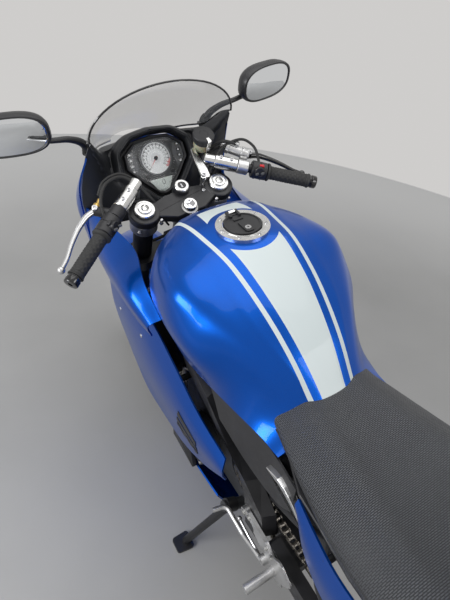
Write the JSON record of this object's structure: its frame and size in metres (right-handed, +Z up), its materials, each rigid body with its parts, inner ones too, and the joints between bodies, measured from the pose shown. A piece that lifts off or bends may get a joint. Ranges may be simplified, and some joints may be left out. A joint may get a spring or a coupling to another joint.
{
  "type": "sport bike",
  "caption": "Faired sport motorcycle leaning on its side stand, with turning wheels, steering, folding stand and hinged fuel lid.",
  "frame": {"origin": "on the floor, under the middle of the whole machine's box as it leans on its side stand", "axes": "+Z up, +Y forward along the machine, +X to the rider's right"},
  "size_m": [0.8134, 2.0091, 1.1604],
  "materials": {
    "frame_black": "satin",
    "engine_grey": "cast, satin",
    "chain_steel": "satin",
    "steel": "satin",
    "caliper_black": "satin",
    "spring_grey": "gloss",
    "black_plastic": "fine texture",
    "radiator_black": "matt",
    "exhaust_steel": "brushed",
    "cast_silver": "cast, satin",
    "blue_paint": "metallic gloss with white stripes",
    "seat_vinyl": "woven-pattern vinyl",
    "red_lens": "lens",
    "amber_lens": "lens",
    "clear_screen": "clear",
    "dash_grey": "satin",
    "mirror_glass": "mirror",
    "chrome": "polished",
    "grip_rubber": "ribbed",
    "controls_black": "satin",
    "amber_cup": "translucent",
    "hose_black": "smooth",
    "rim_black": "gloss",
    "tyre_rubber": "moulded rubber",
    "disc_steel": "ground"
  },
  "bodies": {
    "chassis": {"frame": "frame_black", "subframe": "frame_black", "engine": "engine_grey", "chain": "chain_steel", "swingarm": "frame_black", "rear_axle": "steel", "rear_caliper": "caliper_black", "rear_shock": "spring_grey", "hugger": "black_plastic", "radiator": "radiator_black", "exhaust_headers": "exhaust_steel", "muffler": "exhaust_steel", "footrests": "cast_silver", "passenger_pegs": "cast_silver", "fuel_tank": "blue_paint", "filler_ring": "cast_silver", "rider_seat": "seat_vinyl", "pillion_seat": "seat_vinyl", "tail_cowl": "blue_paint", "tail_sides": "blue_paint", "side_covers": "black_plastic", "tail_light": "red_lens", "plate_holder": "black_plastic", "indicators": "amber_lens", "nose_fairing": "blue_paint", "windscreen": "clear_screen", "cockpit_panel": "black_plastic", "dash": "dash_grey", "fairing_stay": "frame_black", "mirrors": "black_plastic", "mirror_glasses": "mirror_glass", "side_fairing_right": "blue_paint", "side_fairing_left": "blue_paint", "belly_fairing": "blue_paint", "stand_bracket": "frame_black"},
    "steering": {"fork_outer_tubes": "frame_black", "fork_inner_tubes": "chrome", "top_clamp": "frame_black", "lower_clamp": "frame_black", "clip_ons": "cast_silver", "grips": "grip_rubber", "bar_controls": "controls_black", "brake_reservoir": "amber_cup", "brake_hoses": "hose_black", "front_calipers": "caliper_black", "front_axle": "steel", "front_fender": "blue_paint"},
    "front_wheel": {"front_rim": "rim_black", "front_tyre": "tyre_rubber", "front_discs": "disc_steel"},
    "rear_wheel": {"rear_rim": "rim_black", "rear_tyre": "tyre_rubber", "rear_disc": "disc_steel", "rear_sprocket": "chain_steel"},
    "fuel_lid": {"fuel_lid": "cast_silver"},
    "side_stand": {"side_stand": "frame_black"}
  },
  "joints": [
    {"name": "steering", "type": "hinge", "parent": "chassis", "child": "steering", "pos_m": [0.04628, 0.44739, 0.78646], "axis": [-0.1555, -0.4058, 0.9006], "range_deg": [-31.3, 22.7]},
    {"name": "front_wheel_spin", "type": "hinge", "parent": "steering", "child": "front_wheel", "pos_m": [0.12858, 0.70508, 0.295], "axis": [0.9774, 0.0687, 0.1997], "continuous": true},
    {"name": "rear_wheel_spin", "type": "hinge", "parent": "chassis", "child": "rear_wheel", "pos_m": [0.12849, -0.68981, 0.31171], "axis": [0.9854, 0.0002, 0.1702], "continuous": true},
    {"name": "stand_fold", "type": "hinge", "parent": "chassis", "child": "side_stand", "pos_m": [-0.01738, -0.02637, 0.26248], "axis": [-0.9569, 0.0958, 0.2742], "range_deg": [0, 99.59]},
    {"name": "lid_hinge", "type": "hinge", "parent": "chassis", "child": "fuel_lid", "pos_m": [0.01658, 0.21537, 0.95866], "axis": [-0.9854, -0.0002, -0.1702], "range_deg": [0, 95]}
  ]
}
